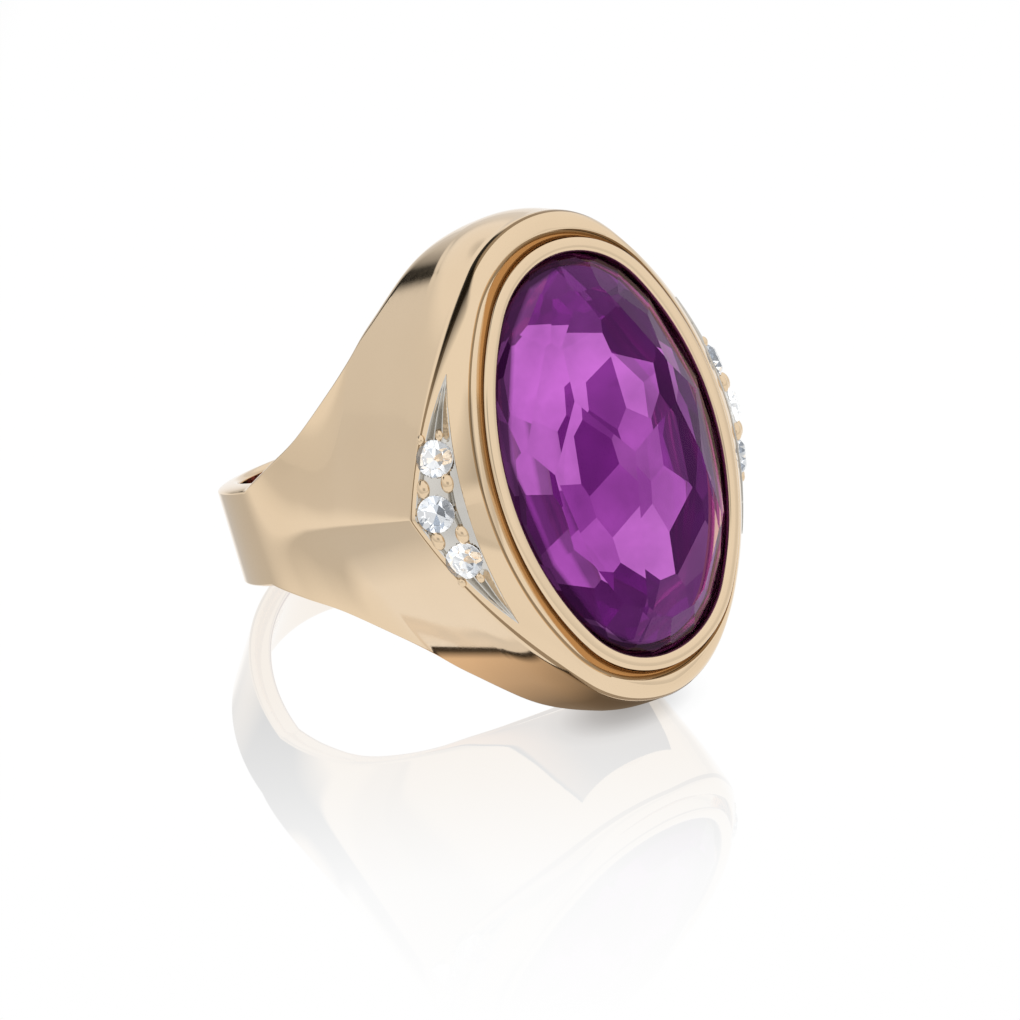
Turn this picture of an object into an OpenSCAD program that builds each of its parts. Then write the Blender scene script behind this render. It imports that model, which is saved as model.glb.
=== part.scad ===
// Cocktail ring: gold body, oval amethyst in a raised bezel, two white gold
// crescents with three round brilliants each. It rests on its side, on the back rim of
// its band and one end of its head, with the stone looking towards -Y and a little up.
// The modules draw it upright (finger axis along Y, stone up) and lying() lays it down.
// The origin is the centre of the finger hole. All lengths are in millimetres.

/* [Rest] */
// how far the ring is tipped over about X as it lies on its side
lean = 65.0; // [0:0.1:90]

/* [Finger] */
// radius of the finger hole
finger_r = 8.65; // [7:0.05:11]
// thickness of the band at the back
band_t = 1.15; // [0.8:0.05:2]
// width of the band at the back
band_w = 5.1; // [3:0.1:7]
// rounding of the band rims
rim_r = 0.35; // [0.1:0.05:0.5]

/* [Head] */
// height of the bezel lip above the finger centre
head_z = 16.3; // [13:0.1:20]
// height of the flat step around the bezel
step_z = 15.7; // [12:0.05:19]
// height of the pointed side corners
corner_z = 13.3; // [10:0.05:18]
// half length of the head along the finger
head_y = 11.4; // [9:0.1:14]
// half width of the head at the side corners
head_x = 9.6; // [8:0.1:12]
// radius of the rounded ends of the head outline
end_r = 5.7; // [5:0.1:9]
// angle of the outline where a side runs into a rounded end
join_a = 43; // [20:1:50]
// how far the end walls bulge out below the edge
bulge = 0.5; // [0:0.05:1]
// height up to which the end walls keep that bulge
bulge_z = 12.3; // [10:0.1:13]
// height where the wide hollow inside the head begins
hollow_z = 9.6; // [9:0.1:12]
// how far the wide hollow reaches beyond the stone opening
hollow_grow = 1.2; // [0:0.1:1.3]

/* [Stone opening] */
// half length of the opening in the lip
open_y = 9.3; // [7:0.1:11]
// half width of the opening in the lip
open_x = 6.0; // [4:0.1:8]
// radius of the opening at its two ends
open_r = 4.6; // [3:0.1:6]
// width of the lip
lip_w = 0.65; // [0.4:0.05:1.2]
// extra width of the bezel foot in its groove
foot_w = 0.45; // [0.2:0.05:0.8]
// depth of the groove below the step
groove = 0.3; // [0.1:0.05:0.6]
// thickness of the lip over the stone edge
lip_t = 0.35; // [0.2:0.05:0.6]
// how far the lip covers the stone edge
lip_grip = 0.3; // [0.1:0.05:0.5]

/* [Amethyst] */
// height of the crown above the girdle
crown_h = 2.3; // [1:0.1:4]
// depth of the pavilion below the girdle
pavilion_h = 5.0; // [3:0.1:6]
// thickness of the girdle
girdle_t = 0.3; // [0.1:0.05:0.6]

/* [White gold crescents] */
// half length of each crescent
plate_y = 5.85; // [4:0.05:7]
// width at the middle
plate_w = 1.75; // [1.2:0.05:2]
// distance of the two tips from the middle of the ring
plate_tip = 6.62; // [6.2:0.02:7.5]
// thickness of the inlaid metal
plate_t = 0.45; // [0.3:0.05:0.8]
// how far the crescent stands above the gold
plate_proud = 0.05; // [0:0.01:0.15]

/* [Diamonds] */
// girdle diameter
diamond_d = 1.66; // [1.2:0.02:2]
// distance between neighbours along the finger
diamond_pitch = 2.35; // [1.8:0.05:3]
// half width of the row at the middle stone
diamond_x0 = 8.78; // [8:0.02:9.2]
// half width of the row at the outer stones
diamond_x1 = 8.2; // [8:0.02:9]
// radius of the raised beads
bead_r = 0.2; // [0.1:0.01:0.3]

/* [Hidden] */
$fn = 96;
ring_r = finger_r + band_t;
bezel_z = 14.0;
seat_z = head_z - 1.0;
// height of the step inside the opening, and metal left between hollow and bezel
throat_z = 9;
hollow_roof = 0.9;
// a length that reaches past every surface
far = 20;
// depth of a drilled hole that carries on through thin metal
clear = 0.1;
// helpers for smooth outlines
function arc(c, r, a0, a1, n) = [for (i = [0:n]) let (a = a0 + (a1 - a0) * i / n)
    [c[0] + r * cos(a), c[1] + r * sin(a)]];
function quad(q) = concat(q, [for (i = [len(q) - 1:-1:0]) [-q[i][0], q[i][1]]],
    [for (p = q) [-p[0], -p[1]]], [for (i = [len(q) - 1:-1:0]) [q[i][0], -q[i][1]]]);
// plain oval of four tangent arcs, grown by g
oval_rs = (open_x * open_x + pow(open_y - open_r, 2) - open_r * open_r) /
    (2 * (open_x - open_r));
oval_a = atan2(open_y - open_r, oval_rs - open_x);
function oval_q(g) = concat(
    arc([open_x - oval_rs, 0], oval_rs + g, 0.001, oval_a, 10),
    arc([0, open_y - open_r], open_r + g, oval_a + 6, 89.999, 9));
// head outline: bowed sides meeting in a corner, round ends
side_p = [end_r * cos(join_a), head_y - end_r + end_r * sin(join_a)];
side_c = atan2(head_x - side_p[0], side_p[1]);
side_r = norm([head_x, 0] - side_p) / (2 * sin(join_a - side_c));
side_0 = 2 * side_c - join_a;
side_o = [head_x - side_r * cos(side_0), -side_r * sin(side_0)];
function head_q() = concat(
    arc(side_o, side_r, side_0 + 0.01, join_a, 7),
    arc([0, head_y - end_r], end_r, join_a + 6, 89.99, 7));
// sloping top: a cone round the middle of each side arc of the groove, its top circle
// a little inside the groove
groove_g = lip_w + foot_w;
cone_in = 0.2;
cone_x = oval_rs - open_x;
cone_r = oval_rs + groove_g - cone_in;
slope = (step_z - corner_z) / (head_x + cone_x - cone_r);
function top_z(x, y) = step_z - slope * (norm([x + cone_x, y]) - cone_r);
// flanks of the shoulders: half width and radius at their rims and at their middle, and
// inner radius of the drawn ring
flank_y = 4.6;
flank_r = 8.9;
crown_y = 2;
crown_r = ring_r + 0.3;
flank_in = 8;
// crescent arcs: outer edge from the side corner to a tip, inner edge through both tips
plate_out = head_x - 0.12;
plate_in = plate_out - plate_w;
cres_n = atan2(plate_out - plate_tip, plate_y);
cres_r = norm([plate_out - plate_tip, plate_y]) / (2 * sin(cres_n - side_0));
cres_o = [plate_out - cres_r * cos(side_0), -cres_r * sin(side_0)];
cres_in_r = (pow(plate_in - plate_tip, 2) + plate_y * plate_y) / (2 * (plate_in - plate_tip));
// half width of the shoulders seen from the side, by height
flare_y = 12.1;
prof = [[-1, band_w / 2], [0, band_w / 2], [2, 3.4], [4, 4.5], [5.7, 6.2], [6.6, 7.4],
    [7.3, 8.5], [8, 9.4], [8.8, 10.5], [9.8, 11.5], [11, 12], [12.5, flare_y], [14, flare_y]];
function cr(a, b, c, d, t) = 0.5 * (2 * b + (c - a) * t + (2 * a - 5 * b + 4 * c - d) * t * t
    + (3 * b - a - 3 * c + d) * t * t * t);
prof_s = [for (i = [1:len(prof) - 3], s = [0:3])
    let (t = s / 4) [cr(prof[i - 1][0], prof[i][0], prof[i + 1][0], prof[i + 2][0], t),
        cr(prof[i - 1][1], prof[i][1], prof[i + 1][1], prof[i + 2][1], t)]];

module lying() { rotate([lean, 0, 0]) children(); }
module oval(g) { polygon(quad(oval_q(g))); }
module outline() { polygon(quad(head_q())); }
module slab(z0, z1) { translate([0, 0, z0]) linear_extrude(z1 - z0) children(); }

// everything under the sloping top when it is moved up by d
module under_top(d) {
    intersection_for (s = [-1, 1]) translate([s * cone_x, 0, -1])
        cylinder(h = step_z + d + 1, r1 = cone_r + (step_z + d + 1) / slope, r2 = cone_r, $fn = 240);
}

// head seen from above: its outline, and the ends that bulge below the edge
module head_walls() {
    slab(-1, step_z) outline();
    for (s = [-1, 1]) translate([0, s * (head_y - end_r), 0]) {
        cylinder(h = bulge_z, r = end_r + bulge);
        translate([0, 0, bulge_z])
            cylinder(h = step_z - bulge_z, r1 = end_r + bulge, r2 = end_r + 0.04);
    }
}

// shoulders' flanks near the band, narrowing towards their rims
module barrel() {
    rotate([90, 0, 0]) rotate_extrude()
        polygon([[flank_in, -flank_y], [flank_r, -flank_y], [crown_r, -crown_y],
            [crown_r, crown_y], [flank_r, flank_y], [flank_in, flank_y]]);
}

// front view of the ring: round below, straight flanks above
module front_view() {
    zr = sqrt(ring_r * ring_r - head_x * head_x);
    translate([0, far, 0]) rotate([90, 0, 0]) linear_extrude(2 * far)
        polygon(concat(arc([0, 0], ring_r, 0, atan2(zr, head_x), 4),
            [[head_x, far], [-head_x, far]],
            arc([0, 0], ring_r, 180 - atan2(zr, head_x), 180, 4)));
}

// side view of the head: the shoulders flare like a trumpet
module side_view() {
    rotate([90, 0, 90]) translate([0, 0, -far]) linear_extrude(2 * far)
        polygon(concat([for (p = prof_s) [p[1], p[0]]], [[flare_y, far], [-flare_y, far]],
            [for (i = [len(prof_s) - 1:-1:0]) [-prof_s[i][1], prof_s[i][0]]]));
}

module band_section() {
    h = band_w / 2;
    t = ring_r - flank_in;
    translate([flank_in, 0]) {
        translate([0, -h]) square([t - rim_r, band_w]);
        translate([0, -h + rim_r]) square([t, band_w - 2 * rim_r]);
        for (s = [-1, 1]) translate([t - rim_r, s * (h - rim_r)]) circle(rim_r);
    }
}

module left_right(s) { if (s < 0) mirror([1, 0, 0]) children(); else children(); }

// crescent on the right side, seen from above: two bowed outer edges that meet in a
// blunt corner, one nearly straight inner edge, and a sharp tip at each end
module crescent_2d() {
    difference() {
        intersection_for (s = [-1, 1])
            translate([cres_o[0], s * cres_o[1]]) circle(cres_r, $fn = 240);
        translate([plate_in - cres_in_r, 0]) circle(cres_in_r, $fn = 360);
        translate([-far, -far]) square([far + open_x, 2 * far]);
    }
}

// layer that follows the sloping top between two depths
module top_layer(d0, d1) { difference() { under_top(d1); under_top(d0); } }

// origin on the sloping top at (x, y), Z axis square to it
module on_top(x, y) {
    translate([x, y, top_z(x, y)]) rotate([0, atan(slope), atan2(y, x + cone_x)]) children();
}

module at_diamond(i) { on_top(i == 0 ? diamond_x0 : diamond_x1, i * diamond_pitch) children(); }

// crown, girdle and pavilion of one round stone
module brilliant() {
    r = diamond_d / 2;
    girdle = 0.03;
    crown = 0.25;
    pavilion = 0.7;
    table = 0.57;
    culet = 0.03;
    translate([0, 0, girdle]) cylinder(h = crown, r1 = r, r2 = r * table);
    translate([0, 0, -girdle]) cylinder(h = 2 * girdle, r = r);
    translate([0, 0, -girdle - pavilion]) cylinder(h = pavilion, r1 = culet, r2 = r);
}

// seat of one stone: its own shape, room above it and a drilled hole below
module seat_cut(i) {
    above = 1;
    drill = 1.2;
    drill_r = 0.3;
    at_diamond(i) {
        brilliant();
        cylinder(h = above, r = diamond_d / 2);
        translate([0, 0, -drill]) cylinder(h = drill, r = drill_r);
    }
}

module ring_body() {
    lying() color([0.86, 0.70, 0.50]) difference() {
        union() {
            intersection() {
                front_view();
                side_view();
                under_top(0);
                union() { head_walls(); barrel(); }
            }
            rotate([-90, 0, 0]) rotate_extrude(angle = 180) band_section();
        }
        translate([0, far, 0]) rotate([90, 0, 0]) cylinder(h = 2 * far, r = finger_r);
        // opening from the finger hole up to the stone, in two steps
        slab(finger_r / 2, throat_z) oval(-0.4);
        slab(throat_z - clear, bezel_z + clear) oval(-0.1);
        slab(hollow_z, bezel_z - hollow_roof) oval(hollow_grow);
        slab(bezel_z, far) oval(groove_g);
        for (s = [-1, 1]) left_right(s) {
            difference() { slab(hollow_z, far) crescent_2d(); under_top(-plate_t); }
            for (i = [-1:1]) seat_cut(i);
        }
    }
}

module bezel() {
    lying() color([0.88, 0.72, 0.52]) difference() {
        union() {
            slab(bezel_z, head_z) oval(lip_w);
            slab(bezel_z, step_z - groove) oval(lip_w + foot_w);
        }
        slab(bezel_z - 1, head_z - lip_t) oval(lip_grip);
        slab(bezel_z, far) oval(0);
    }
}

module stone_seat() {
    seat_t = 0.7;
    seat_w = 0.9;
    lying() color([0.84, 0.67, 0.47]) difference() {
        slab(seat_z - seat_t, seat_z) oval(lip_grip);
        slab(seat_z - seat_t - clear, seat_z + clear) oval(-seat_w);
    }
}

// everything below a plane that touches the oval at angle a and leans by t
module facet(a, t, g, z) {
    n = [cos(a), sin(a)];
    d = norm([(open_x + g) * n[0], (open_y + g) * n[1]]);
    rotate([0, 0, a]) translate([d, 0, z]) rotate([0, t, 0])
        translate([-3 * far, -2 * far, -4 * far]) cube([6 * far, 4 * far, 4 * far]);
}

module amethyst() {
    g = lip_grip;
    zg = seat_z + girdle_t;
    lying() color([0.55, 0.18, 0.62, 0.75]) intersection() {
        slab(seat_z - pavilion_h, zg + crown_h) oval(g);
        // crown: sixteen steep facets from the girdle, eight flatter ones above
        intersection_for (i = [0:15]) facet((i + 0.5) * 360 / 16, 42, g, zg);
        intersection_for (i = [0:7]) facet(i * 360 / 8, 24, -1.6, zg + 1.55);
        // pavilion, the same way below
        mirror([0, 0, 1]) intersection_for (i = [0:15]) facet(i * 360 / 16, 40, g, -seat_z);
        mirror([0, 0, 1]) intersection_for (i = [0:7])
            facet((i + 0.5) * 360 / 8, 30, -2.2, -seat_z + 2.6);
    }
}

module crescent(s) {
    color([0.90, 0.90, 0.90]) left_right(s) difference() {
        intersection() { top_layer(-plate_t, plate_proud); slab(hollow_z, far) crescent_2d(); }
        for (i = [-1:1]) seat_cut(i);
    }
}

module diamond(s, i) { color([0.93, 0.96, 1.0, 0.8]) left_right(s) at_diamond(i) brilliant(); }

// a pair of beads in each gap and beyond each outer stone
module beads(s) {
    mid_gap = 0.42;
    end_gap = 0.28;
    end_in = 0.15;
    end_pull = 0.93;
    color([0.92, 0.88, 0.80]) left_right(s)
        for (j = [-1.5, -0.5, 0.5, 1.5], k = [-1, 1]) {
            x = abs(j) > 1 ? diamond_x1 - end_in + end_gap * k
                : (diamond_x0 + diamond_x1) / 2 + mid_gap * k;
            y = j * diamond_pitch * (abs(j) > 1 ? end_pull : 1);
            on_top(x, y) translate([0, 0, plate_proud])
                intersection() {
                    sphere(bead_r);
                    translate([-1, -1, 0]) cube([2, 2, 1]);
                }
        }
}

module crescent_left() { lying() crescent(-1); }
module crescent_right() { lying() crescent(1); }
module diamond_left_north() { lying() diamond(-1, 1); }
module diamond_left_middle() { lying() diamond(-1, 0); }
module diamond_left_south() { lying() diamond(-1, -1); }
module diamond_right_north() { lying() diamond(1, 1); }
module diamond_right_middle() { lying() diamond(1, 0); }
module diamond_right_south() { lying() diamond(1, -1); }
module beads_left() { lying() beads(-1); }
module beads_right() { lying() beads(1); }

ring_body();
bezel();
stone_seat();
amethyst();
crescent_left();
crescent_right();
diamond_left_north();
diamond_left_middle();
diamond_left_south();
diamond_right_north();
diamond_right_middle();
diamond_right_south();
beads_left();
beads_right();
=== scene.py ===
"""Looks for the cocktail ring: polished gold body and bezel, faceted oval amethyst,
two white gold crescents with three round brilliants each, on a glossy white floor."""
import math

import bmesh
import bpy
import numpy as np
from mathutils import Matrix, Vector


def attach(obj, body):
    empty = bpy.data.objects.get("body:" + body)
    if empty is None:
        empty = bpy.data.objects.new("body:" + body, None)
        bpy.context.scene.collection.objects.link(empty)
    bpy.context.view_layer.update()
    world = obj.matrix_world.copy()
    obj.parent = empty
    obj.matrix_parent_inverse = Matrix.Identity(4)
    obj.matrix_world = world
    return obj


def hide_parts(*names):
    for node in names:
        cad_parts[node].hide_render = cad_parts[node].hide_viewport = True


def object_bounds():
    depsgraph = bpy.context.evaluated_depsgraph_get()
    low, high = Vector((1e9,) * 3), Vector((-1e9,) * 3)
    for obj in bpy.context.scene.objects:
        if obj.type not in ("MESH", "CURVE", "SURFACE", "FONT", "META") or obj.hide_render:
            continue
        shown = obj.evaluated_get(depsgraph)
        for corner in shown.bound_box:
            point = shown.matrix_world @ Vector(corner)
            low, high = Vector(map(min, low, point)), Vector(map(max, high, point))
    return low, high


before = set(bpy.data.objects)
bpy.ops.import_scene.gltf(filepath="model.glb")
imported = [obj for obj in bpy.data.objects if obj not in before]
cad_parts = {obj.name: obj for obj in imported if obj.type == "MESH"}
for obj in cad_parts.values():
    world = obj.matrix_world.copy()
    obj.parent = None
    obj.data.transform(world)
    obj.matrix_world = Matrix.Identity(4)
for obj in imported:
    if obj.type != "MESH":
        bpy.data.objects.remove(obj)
cad_low, cad_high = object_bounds()

# ---------------------------------------------------------------- sizes, in millimetres
# The ring is drawn upright (finger axis +Y, stone +Z) and laid down by LEAN about X.
LEAN = math.radians(65.0)
MM = 0.001
# finger hole, outside of the band, rounding of the hole's rims, and the hole with it
FINGER_R = 8.65
RING_R = 9.8
RIM_IN = 0.3
RIM_R = FINGER_R + RIM_IN
# sharp edge of the head: half width, half length, radius of its ends, where the arcs join
HEAD_X = 9.6
HEAD_Y = 11.4
END_R = 5.7
JOIN_A = math.radians(43)
# its height at the side corners and at the ends, and how fast it rises between them
CORNER_Z = 13.3
END_Z = 15.47
EDGE_CURVE = 1.2
# height of the sloping top beside the bezel, and how much the slope is crowned
STEP_Z = 15.7
TOP_CROWN = 0.10
# step over which its slope is measured
SLOPE_STEP = 0.08
# walls of the head: swelling of the ends, the keel line of the sides and its rounding
BULGE = 0.040
BULGE_Z = 12.3
KEEL_Z = 7.0
KEEL_SOFT = 0.08
KEEL_MORE = 0.07
FLANK_Z = 4.0
WALL_TOP_Z = 12.4
WALL_EASE = 0.6
WALL_COLUMNS = 120
# how much the columns gather where the wall turns, and the points its turning is averaged over
TURN_SHARE = 0.45
TURN_WINDOW = 31
# turns round the finger axis of the body's rows: behind the finger, then on the stone's side
BACK_TURNS = np.radians(np.linspace(-90, 0, 61))[:-1]
FRONT_TURNS = np.radians(np.concatenate([np.linspace(0, 80, 60), np.linspace(80, 90, 16)[1:]]))
# hollow of the head: growth from the stone's opening, and the heights it is cut between
HOLLOW_GROW = -0.1
HOLLOW_Z = (4.0, 17.0)
# rounding of the sharp edge at the side corners, what it gains along the first degrees
# round from them, and the rounding of the groove's edge
EDGE_ROUND = 0.10
EDGE_ROUND_MORE = 0.30
EDGE_ROUND_FROM = 12
EDGE_ROUND_OVER = 45
GROOVE_ROUND = 0.06
# side of the groove: (distance in, depth below its edge), and its depth below GROOVE_Z
GROOVE_SIDE = ((0.0, 0.02), (0.01, 0.08))
GROOVE_DEEP = 0.25
# oval opening for the stone: half width, half length, radius of its ends
OPEN_X = 6.0
OPEN_Y = 9.3
OPEN_R = 4.6
# bezel: width of the lip and of the foot, its levels, and how far the lip covers the stone
LIP_W = 0.65
FOOT_W = 0.45
LIP_Z = 16.3
GROOVE_Z = 15.42
BEZEL_Z = 14.0
SEAT_Z = 15.3
GRIP = 0.3
# painted shade in the crevices of the bezel, in darker gold: height of the foot's, height and depth
# below the lip of the other
FOOT_LINE = 0.05
LIP_LINE = 0.015
LIP_LINE_DOWN = 0.18
# bezel's play in the groove, and how far the cove beside the lip ends below it
BEZEL_PLAY = 0.03
COVE_DOWN = 0.22
# points of a quarter of the bezel's and the ledge's outline
SWEEP_POINTS = 96
# rounded lip, from its outside to its inside: (growth from the opening, depth below the lip)
LIP_OUTSIDE = ((LIP_W + 0.005, 0.14), (LIP_W - 0.02, 0.07), (LIP_W - 0.09, 0.02),
               (LIP_W - 0.2, 0.0))
LIP_INSIDE = ((0.3, 0.0), (0.16, 0.01), (0.07, 0.05), (0.02, 0.12), (0.0, 0.2), (0.02, 0.34),
              (GRIP, 0.35))
# ledge under the stone: (growth from the opening, depth below SEAT_Z)
SEAT_SECTION = ((GRIP, 0.7), (GRIP, 0.02), (GRIP - 0.05, 0.0), (-0.5, 0.1), (-0.88, 0.35),
                (-0.9, 0.65), (-0.85, 0.7))
# amethyst: play in the bezel, girdle, crown and its flats
STONE_PLAY = 0.02
GIRDLE_T = 0.3
CROWN_FROM = SEAT_Z + GIRDLE_T - 0.03
CROWN_H = 2.3
CROWN_FLAT_H = 2.12
CROWN_FLATS = ((0.03, 0.06, 1), (-0.11, -0.05, 1), (0.10, -0.09, 1))
# its pavilion: level and depth of the bowl, growth, number of cuts, first one, turn wobble
PAVILION_FROM = SEAT_Z + 0.1
PAVILION_H = 5.0
PAVILION_OVER = 0.4
PAVILION_CUTS = 78
PAVILION_FIRST = 0.35
PAVILION_WOBBLE = 0.25
PAVILION_SEED = 4
GOLDEN_TURN = math.pi * (3 - math.sqrt(5))
# both kinds of stone: corners closer than this are joined, facets within this angle are one,
# and facets that point down by more than this are back facets
GEM_WELD = 0.004
GEM_FLAT = math.radians(0.6)
GEM_BACK = -0.1
# rows of crown facets: count, turn, tilt, growth, height above the girdle, wobble, seed
CROWN_ROWS = ((22, 0.25, 46, GRIP - STONE_PLAY, 0.0, 0.25, 3),
              (15, 0.6, 33, -0.9, 0.96, 0.6, 5),
              (11, 0.2, 21, -2.2, 1.66, 0.8, 8))
TILT_WOBBLE = 3.0
# half width of the shoulders seen from the side, by height
SHOULDER = [(0, 2.55), (2, 3.4), (4, 4.5), (5.7, 6.2), (6.6, 7.4), (7.3, 8.5), (8, 9.4),
            (8.8, 10.5), (9.8, 11.75), (11, 12.5), (12.5, 12.9), (14, 13.4), (16, 14.0)]
# how softly the shoulders run into the outline of the head, by height
CORNER_SOFT = [(0, 1.4), (6, 0.65), (9, 1.5), (12, 1.7), (16, 1.2)]
# crescents: half length, width in the middle, where the tips lie, height above the top
PLATE_Y = 5.85
PLATE_W = 1.75
PLATE_TIP = 6.62
PLATE_MARGIN = 0.12
PLATE_PROUD = 0.05
# width and depth of its turned-down edge, and where its rows of points change spacing
PLATE_EDGE = 0.012
PLATE_DROP = 0.3
PLATE_ROWS_Y = 2.5
# pocket for them in the body
RECESS = 1.1
RECESS_INSET = 0.07
RECESS_STEP = 0.06
# cut lines in their tips: place across, half width, depth
TIP_LINES = ((0.20, 0.13, 0.30), (0.50, 0.13, 0.34), (0.80, 0.13, 0.36))
TIP_LINES_Y = 2.6
TIP_LINES_FADE = 2.2
TIP_LINES_FULL_W = 0.8
# channels beside the diamonds: place across, half width, depth
SIDE_LINES = ((0.74, 0.05, 0.30), (0.10, 0.06, 0.16))
MIDDLE_Y = 2.9
MIDDLE_FADE = 3
# diamonds: diameter, pitch, distance from the middle of the ring for the middle and end ones
DIAMOND_D = 1.66
DIAMOND_PITCH = 2.35
DIAMOND_X0 = 8.78
DIAMOND_X1 = 8.2
DIAMOND_GIRDLE = 0.03
DIAMOND_TABLE = 0.28
DIAMOND_DEPTH = 0.73
DIAMOND_SIDES = 48
# how far each is turned in its seat, by place in the row and by side
SPIN_BY_PLACE = 0.35
SPIN_BY_SIDE = 0.2
# rows of facets: count, turn, tilt, reach (share of the radius), height, up or down
DIAMOND_ROWS = ((16, 0.5, 41, 1.0, DIAMOND_GIRDLE, 1),
                (8, 0, 34.5, 1.0, DIAMOND_GIRDLE, 1),
                (8, 0.5, 22, 0.59, DIAMOND_TABLE, 1),
                (16, 0.5, 42.3, 1.0, -DIAMOND_GIRDLE, -1),
                (8, 0, 40.8, 1.0, -DIAMOND_GIRDLE, -1))
# pockets under them: radius, squeeze along the slope, depth
POCKET_R = 0.80
POCKET_SQUEEZE = 0.72
POCKET_DEPTH = 0.80
# beads between the diamonds and at the ends of the row: radius, half distance, stretch
BEAD_R = 0.32
BEAD_APART = 0.38
BEAD_LONG = 1.4
END_BEAD_R = 0.2
END_BEAD_APART = 0.28
END_BEAD_LONG = 1.2
END_BEAD_IN = 0.15
END_BEAD_PITCH = 0.93
BEAD_WIDE = 0.95
BEAD_TALL = 0.85

# ---------------------------------------------------------------- mesh helpers

def to_world(p):
    """Ring millimetres to the frame's metres, ring lying down."""
    p = np.asarray(p, float)
    c, s = math.cos(LEAN), math.sin(LEAN)
    q = np.empty_like(p)
    q[..., 0] = p[..., 0]
    q[..., 1] = p[..., 1] * c - p[..., 2] * s
    q[..., 2] = p[..., 1] * s + p[..., 2] * c
    return q * MM


def mark_sharp(bm, degrees):
    """Smooth shading, with edges of at least this angle kept sharp."""
    limit = math.radians(degrees)
    for f in bm.faces:
        f.smooth = True
    for e in bm.edges:
        if len(e.link_faces) == 2:
            e.smooth = e.calc_face_angle(0.0) < limit


def finish_piece(name, bm, material, sharp):
    """bm in ring millimetres becomes the object name, laid down and in metres."""
    bmesh.ops.recalc_face_normals(bm, faces=bm.faces)
    if bm.calc_volume(signed=True) < 0:
        bmesh.ops.reverse_faces(bm, faces=bm.faces)
    mark_sharp(bm, sharp)
    mesh = bpy.data.meshes.new(name)
    bm.to_mesh(mesh)
    bm.free()
    co = np.empty(len(mesh.vertices) * 3)
    mesh.vertices.foreach_get("co", co)
    mesh.vertices.foreach_set("co", to_world(co.reshape(-1, 3)).ravel())
    mesh.update()
    obj = bpy.data.objects.new(name, mesh)
    bpy.context.scene.collection.objects.link(obj)
    for m in (material if isinstance(material, list) else [material]):
        mesh.materials.append(m)
    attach(obj, "root")
    return obj


def add_grid(bm, rows, close=False, mat=0):
    """rows: array (rows, columns, 3) of points; quads between neighbours."""
    vs = [[bm.verts.new(p) for p in row] for row in rows]
    n = len(vs[0])
    for a, b in zip(vs, vs[1:]):
        for j in range(n if close else n - 1):
            k = (j + 1) % n
            f = bm.faces.new([a[j], a[k], b[k], b[j]])
            f.material_index = mat


def weld(bm, distance=1e-4):
    """Joins points that lie closer than this."""
    bmesh.ops.remove_doubles(bm, verts=bm.verts, dist=distance)
    bmesh.ops.dissolve_degenerate(bm, edges=bm.edges, dist=distance * 0.5)


# ---------------------------------------------------------------- outlines
# long arcs of the stone opening's oval: radius, and the angle where the ends take over
OVAL_R = (OPEN_X ** 2 + (OPEN_Y - OPEN_R) ** 2 - OPEN_R ** 2) / (2 * (OPEN_X - OPEN_R))
OVAL_A = math.atan2(OPEN_Y - OPEN_R, OVAL_R - OPEN_X)
# side arcs of the head's sharp edge: end point, radius, start angle and centre
SIDE_P = (END_R * math.cos(JOIN_A), HEAD_Y - END_R + END_R * math.sin(JOIN_A))
SIDE_C = math.atan2(HEAD_X - SIDE_P[0], SIDE_P[1])
SIDE_R = math.hypot(HEAD_X - SIDE_P[0], SIDE_P[1]) / (2 * math.sin(JOIN_A - SIDE_C))
SIDE_0 = 2 * SIDE_C - JOIN_A
SIDE_O = (HEAD_X - SIDE_R * math.cos(SIDE_0), -SIDE_R * math.sin(SIDE_0))


def oval(g, n):
    """Quarter of the stone opening's oval grown by g, from +X to +Y, n+1 points."""
    len_side = (OVAL_R + g) * OVAL_A
    len_end = (OPEN_R + g) * (math.pi / 2 - OVAL_A)
    total = len_side + len_end
    out = []
    for i in range(n + 1):
        s = total * i / n
        if s <= len_side:
            a = s / (OVAL_R + g)
            out.append((OPEN_X - OVAL_R + (OVAL_R + g) * math.cos(a), (OVAL_R + g) * math.sin(a)))
        else:
            a = OVAL_A + (s - len_side) / (OPEN_R + g)
            out.append(((OPEN_R + g) * math.cos(a),
                        OPEN_Y - OPEN_R + (OPEN_R + g) * math.sin(a)))
    out[0] = (OPEN_X + g, 0.0)
    out[-1] = (0.0, OPEN_Y + g)
    return np.array(out)


def full_ring(quarter):
    """Quarter outline from +X to +Y, mirrored to the whole closed outline."""
    q = np.asarray(quarter)
    flip_x, flip_y = np.array([-1, 1]), np.array([1, -1])
    return np.concatenate([q[:-1], (q * flip_x)[::-1][:-1], (-q)[:-1], (q * flip_y)[::-1][:-1]])


def ray_circle(centre, r, th):
    """Distance from the origin to a circle along the rays at angles th."""
    b = np.cos(th) * centre[0] + np.sin(th) * centre[1]
    return b + np.sqrt(b ** 2 - centre[0] ** 2 - centre[1] ** 2 + r * r)


def head_ray(th):
    """Polar radius of the head's sharp edge, th from 0 (corner) to a quarter turn (end)."""
    return np.where(th < math.atan2(SIDE_P[1], SIDE_P[0]), ray_circle(SIDE_O, SIDE_R, th),
                    ray_circle((0, HEAD_Y - END_R), END_R, th))


def oval_ray(g, th):
    """Polar radius of the stone opening's oval grown by g."""
    far = OPEN_Y - OPEN_R
    join = math.atan2(far + (OPEN_R + g) * math.sin(OVAL_A), (OPEN_R + g) * math.cos(OVAL_A))
    return np.where(th < join, ray_circle((OPEN_X - OVAL_R, 0), OVAL_R + g, th),
                    ray_circle((0, far), OPEN_R + g, th))


def edge_z(th):
    """Height of the head's sharp edge, lowest at the side corners."""
    share = 1 - (1 - np.clip(th / (math.pi / 2), 0, 1)) ** EDGE_CURVE
    return CORNER_Z + (END_Z - CORNER_Z) * share


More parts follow.
